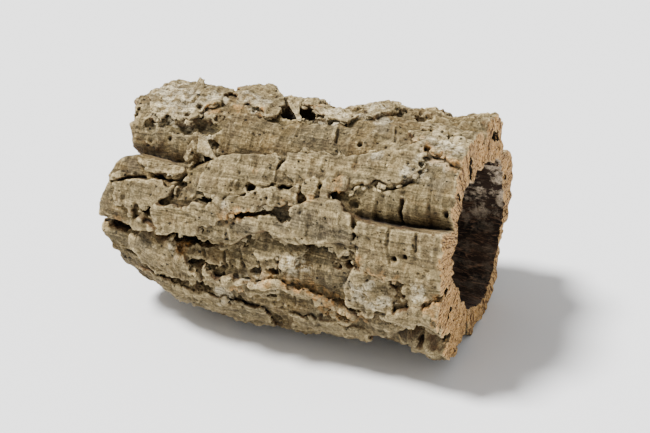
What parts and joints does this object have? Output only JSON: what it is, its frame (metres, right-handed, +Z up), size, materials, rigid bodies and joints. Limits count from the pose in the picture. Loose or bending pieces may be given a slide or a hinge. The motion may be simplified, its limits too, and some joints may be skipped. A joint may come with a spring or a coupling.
{
  "type": "cork bark tube",
  "caption": "Hollow tube of natural cork bark, lying on its side, with deep lengthwise furrows, loose plates and a bore open at both ends.",
  "frame": {"origin": "centre of the bounding box at its bottom, on the surface that the tube lies on", "axes": "+X along the tube towards its sawn, wider end, -Y towards the side with the long fin, +Z up"},
  "size_m": [0.2565, 0.1721, 0.1649],
  "materials": {
    "cork_bark": "rough matt weathered cork bark, grey tan outside, orange tan where sawn, dark brown in the hollow"
  },
  "bodies": {
    "root": {"cork_bark_tube": "cork_bark"}
  },
  "joints": []
}
